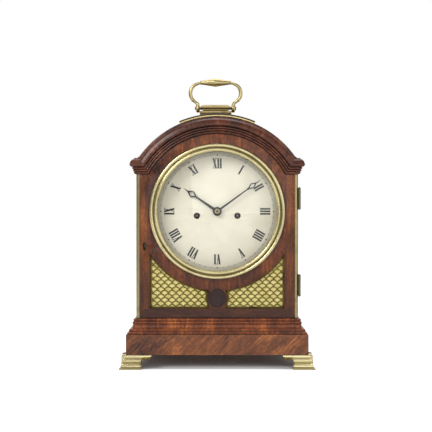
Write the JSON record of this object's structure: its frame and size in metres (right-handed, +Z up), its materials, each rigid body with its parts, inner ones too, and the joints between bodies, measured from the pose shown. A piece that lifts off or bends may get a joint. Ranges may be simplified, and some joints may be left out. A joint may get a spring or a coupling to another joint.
{
  "type": "bracket clock",
  "caption": "Arched-top wooden bracket clock with a round painted dial behind a glazed door, pierced frets, brass bracket feet, a carrying handle and a fusee striking movement.",
  "frame": {"origin": "middle of the rectangle round the four feet, on the surface the clock stands on", "axes": "+X to the right of someone facing the dial, +Y from the dial to the back, +Z up"},
  "size_m": [0.314, 0.202, 0.4834],
  "materials": {
    "mahogany": "french polished",
    "oak": "planed",
    "brass": "lacquered",
    "steel": "satin",
    "blued_steel": "blued",
    "painted_dial": "painted cream",
    "glass": "clear",
    "silk": "woven",
    "bell_metal": "turned"
  },
  "bodies": {
    "case": {"back_frame": "mahogany", "back_frame_brasses": "brass", "back_plate_cocks": "brass", "base_board": "oak", "base_moulding": "mahogany", "bell": "bell_metal", "case_door_brasses": "brass", "cornice_front": "mahogany", "cornice_returns": "mahogany", "dial": "painted_dial", "dial_mask": "mahogany", "foot_back_left": "brass", "foot_back_right": "brass", "foot_front_left": "brass", "foot_front_right": "brass", "handle_base": "brass", "left_side": "mahogany", "movement_plates": "brass", "pad_edging": "brass", "pillars_and_studs": "steel", "plinth": "mahogany", "right_side": "mahogany", "roof": "mahogany", "roof_pad": "mahogany", "seat_board": "oak", "sound_fret_silks": "silk", "sound_frets": "brass"},
    "carrying_handle": {"carrying_handle": "brass"},
    "front_door": {"door_frame": "mahogany", "door_strips": "brass", "door_roundel": "mahogany", "bezel": "brass", "dial_glass": "glass", "left_front_fret": "brass", "right_front_fret": "brass", "front_fret_silks": "silk", "door_lock": "brass", "door_hinge_leaves": "brass"},
    "lock_bolt": {"lock_bolt": "steel"},
    "rear_door": {"rear_door_frame": "mahogany", "rear_door_glass": "glass", "rear_door_hinge_leaves": "brass"},
    "rear_catch": {"rear_catch": "brass"},
    "minute_hand": {"centre_wheel": "brass", "minute_hand": "blued_steel"},
    "hour_hand": {"hour_wheel": "brass", "hour_hand": "blued_steel"},
    "minute_wheel": {"minute_wheel": "brass"},
    "going_great_wheel": {"going_great_wheel": "brass"},
    "going_barrel": {"going_barrel": "brass"},
    "third_wheel": {"third_wheel": "brass"},
    "escape_wheel": {"escape_wheel": "brass"},
    "pendulum": {"pendulum": "brass"},
    "pallets": {"pallets": "steel"},
    "pin_wheel": {"pin_wheel": "brass"},
    "strike_great_wheel": {"strike_great_wheel": "brass"},
    "strike_barrel": {"strike_barrel": "brass"},
    "gathering_wheel": {"gathering_wheel": "brass"},
    "fly": {"fly": "brass"},
    "bell_hammer": {"bell_hammer": "steel"}
  },
  "joints": [
    {"name": "handle_swing", "type": "hinge", "parent": "case", "child": "carrying_handle", "pos_m": [0, 0.01, 0.4317], "axis": [1, 0, 0], "range_deg": [-95, 95]},
    {"name": "front_door_swing", "type": "hinge", "parent": "case", "child": "front_door", "pos_m": [0.1338, -0.074, 0.2], "axis": [0, 0, 1], "range_deg": [0, 110]},
    {"name": "lock_bolt_slide", "type": "slide", "parent": "front_door", "child": "lock_bolt", "axis": [-1, 0, 0], "range_m": [0, 0.0045]},
    {"name": "rear_door_swing", "type": "hinge", "parent": "case", "child": "rear_door", "pos_m": [0.0922, 0.0933, 0.2], "axis": [0, 0, -1], "range_deg": [0, 120]},
    {"name": "rear_catch_turn", "type": "hinge", "parent": "case", "child": "rear_catch", "pos_m": [-0.098, 0.091, 0.21], "axis": [0, -1, 0], "range_deg": [0, 90]},
    {"name": "minute_hand_turn", "type": "hinge", "parent": "case", "child": "minute_hand", "pos_m": [0, 0, 0.2535], "axis": [0, 1, 0], "continuous": true},
    {"name": "hour_hand_turn", "type": "hinge", "parent": "case", "child": "hour_hand", "pos_m": [0, 0, 0.2535], "axis": [0, 1, 0], "continuous": true},
    {"name": "minute_wheel_turn", "type": "hinge", "parent": "case", "child": "minute_wheel", "pos_m": [-0.01163, 0, 0.26513], "axis": [0, 1, 0], "continuous": true},
    {"name": "going_great_wheel_turn", "type": "hinge", "parent": "case", "child": "going_great_wheel", "pos_m": [0.0335, 0, 0.2462], "axis": [0, 1, 0], "continuous": true},
    {"name": "going_barrel_turn", "type": "hinge", "parent": "case", "child": "going_barrel", "pos_m": [0.038, 0, 0.1915], "axis": [0, 1, 0], "continuous": true},
    {"name": "third_wheel_turn", "type": "hinge", "parent": "case", "child": "third_wheel", "pos_m": [0.01336, 0, 0.27663], "axis": [0, 1, 0], "continuous": true},
    {"name": "escape_wheel_turn", "type": "hinge", "parent": "case", "child": "escape_wheel", "pos_m": [0, 0, 0.29146], "axis": [0, 1, 0], "continuous": true},
    {"name": "pendulum_swing", "type": "hinge", "parent": "case", "child": "pendulum", "pos_m": [0, 0.048, 0.3135], "axis": [0, 1, 0], "range_deg": [-4, 4]},
    {"name": "pallets_rock", "type": "hinge", "parent": "case", "child": "pallets", "pos_m": [0, 0, 0.3135], "axis": [0, 1, 0], "range_deg": [-4, 4]},
    {"name": "pin_wheel_turn", "type": "hinge", "parent": "case", "child": "pin_wheel", "pos_m": [-0.02808, 0, 0.27694], "axis": [0, 1, 0], "continuous": true},
    {"name": "strike_great_wheel_turn", "type": "hinge", "parent": "case", "child": "strike_great_wheel", "pos_m": [-0.0335, 0, 0.2462], "axis": [0, 1, 0], "continuous": true},
    {"name": "strike_barrel_turn", "type": "hinge", "parent": "case", "child": "strike_barrel", "pos_m": [-0.038, 0, 0.1915], "axis": [0, 1, 0], "continuous": true},
    {"name": "gathering_wheel_turn", "type": "hinge", "parent": "case", "child": "gathering_wheel", "pos_m": [-0.03671, 0, 0.29543], "axis": [0, 1, 0], "continuous": true},
    {"name": "fly_turn", "type": "hinge", "parent": "case", "child": "fly", "pos_m": [-0.0214, 0, 0.30427], "axis": [0, 1, 0], "continuous": true},
    {"name": "bell_hammer_lift", "type": "hinge", "parent": "case", "child": "bell_hammer", "pos_m": [-0.058, 0, 0.2985], "axis": [0, -1, 0], "range_deg": [0, 20], "stiffness_Nm_per_rad": 0.02}
  ],
  "couplings": [
    {"joint": "hour_hand_turn", "follows": "minute_hand_turn", "ratio": 0.083333},
    {"joint": "minute_wheel_turn", "follows": "minute_hand_turn", "ratio": -0.5},
    {"joint": "going_great_wheel_turn", "follows": "minute_hand_turn", "ratio": -0.125},
    {"joint": "going_barrel_turn", "follows": "minute_hand_turn", "ratio": -0.075},
    {"joint": "third_wheel_turn", "follows": "minute_hand_turn", "ratio": -8},
    {"joint": "escape_wheel_turn", "follows": "minute_hand_turn", "ratio": 64},
    {"joint": "pallets_rock", "follows": "pendulum_swing", "ratio": 1},
    {"joint": "strike_great_wheel_turn", "follows": "pin_wheel_turn", "ratio": -0.14286},
    {"joint": "strike_barrel_turn", "follows": "pin_wheel_turn", "ratio": -0.085714},
    {"joint": "gathering_wheel_turn", "follows": "pin_wheel_turn", "ratio": -6},
    {"joint": "fly_turn", "follows": "pin_wheel_turn", "ratio": 36}
  ]
}
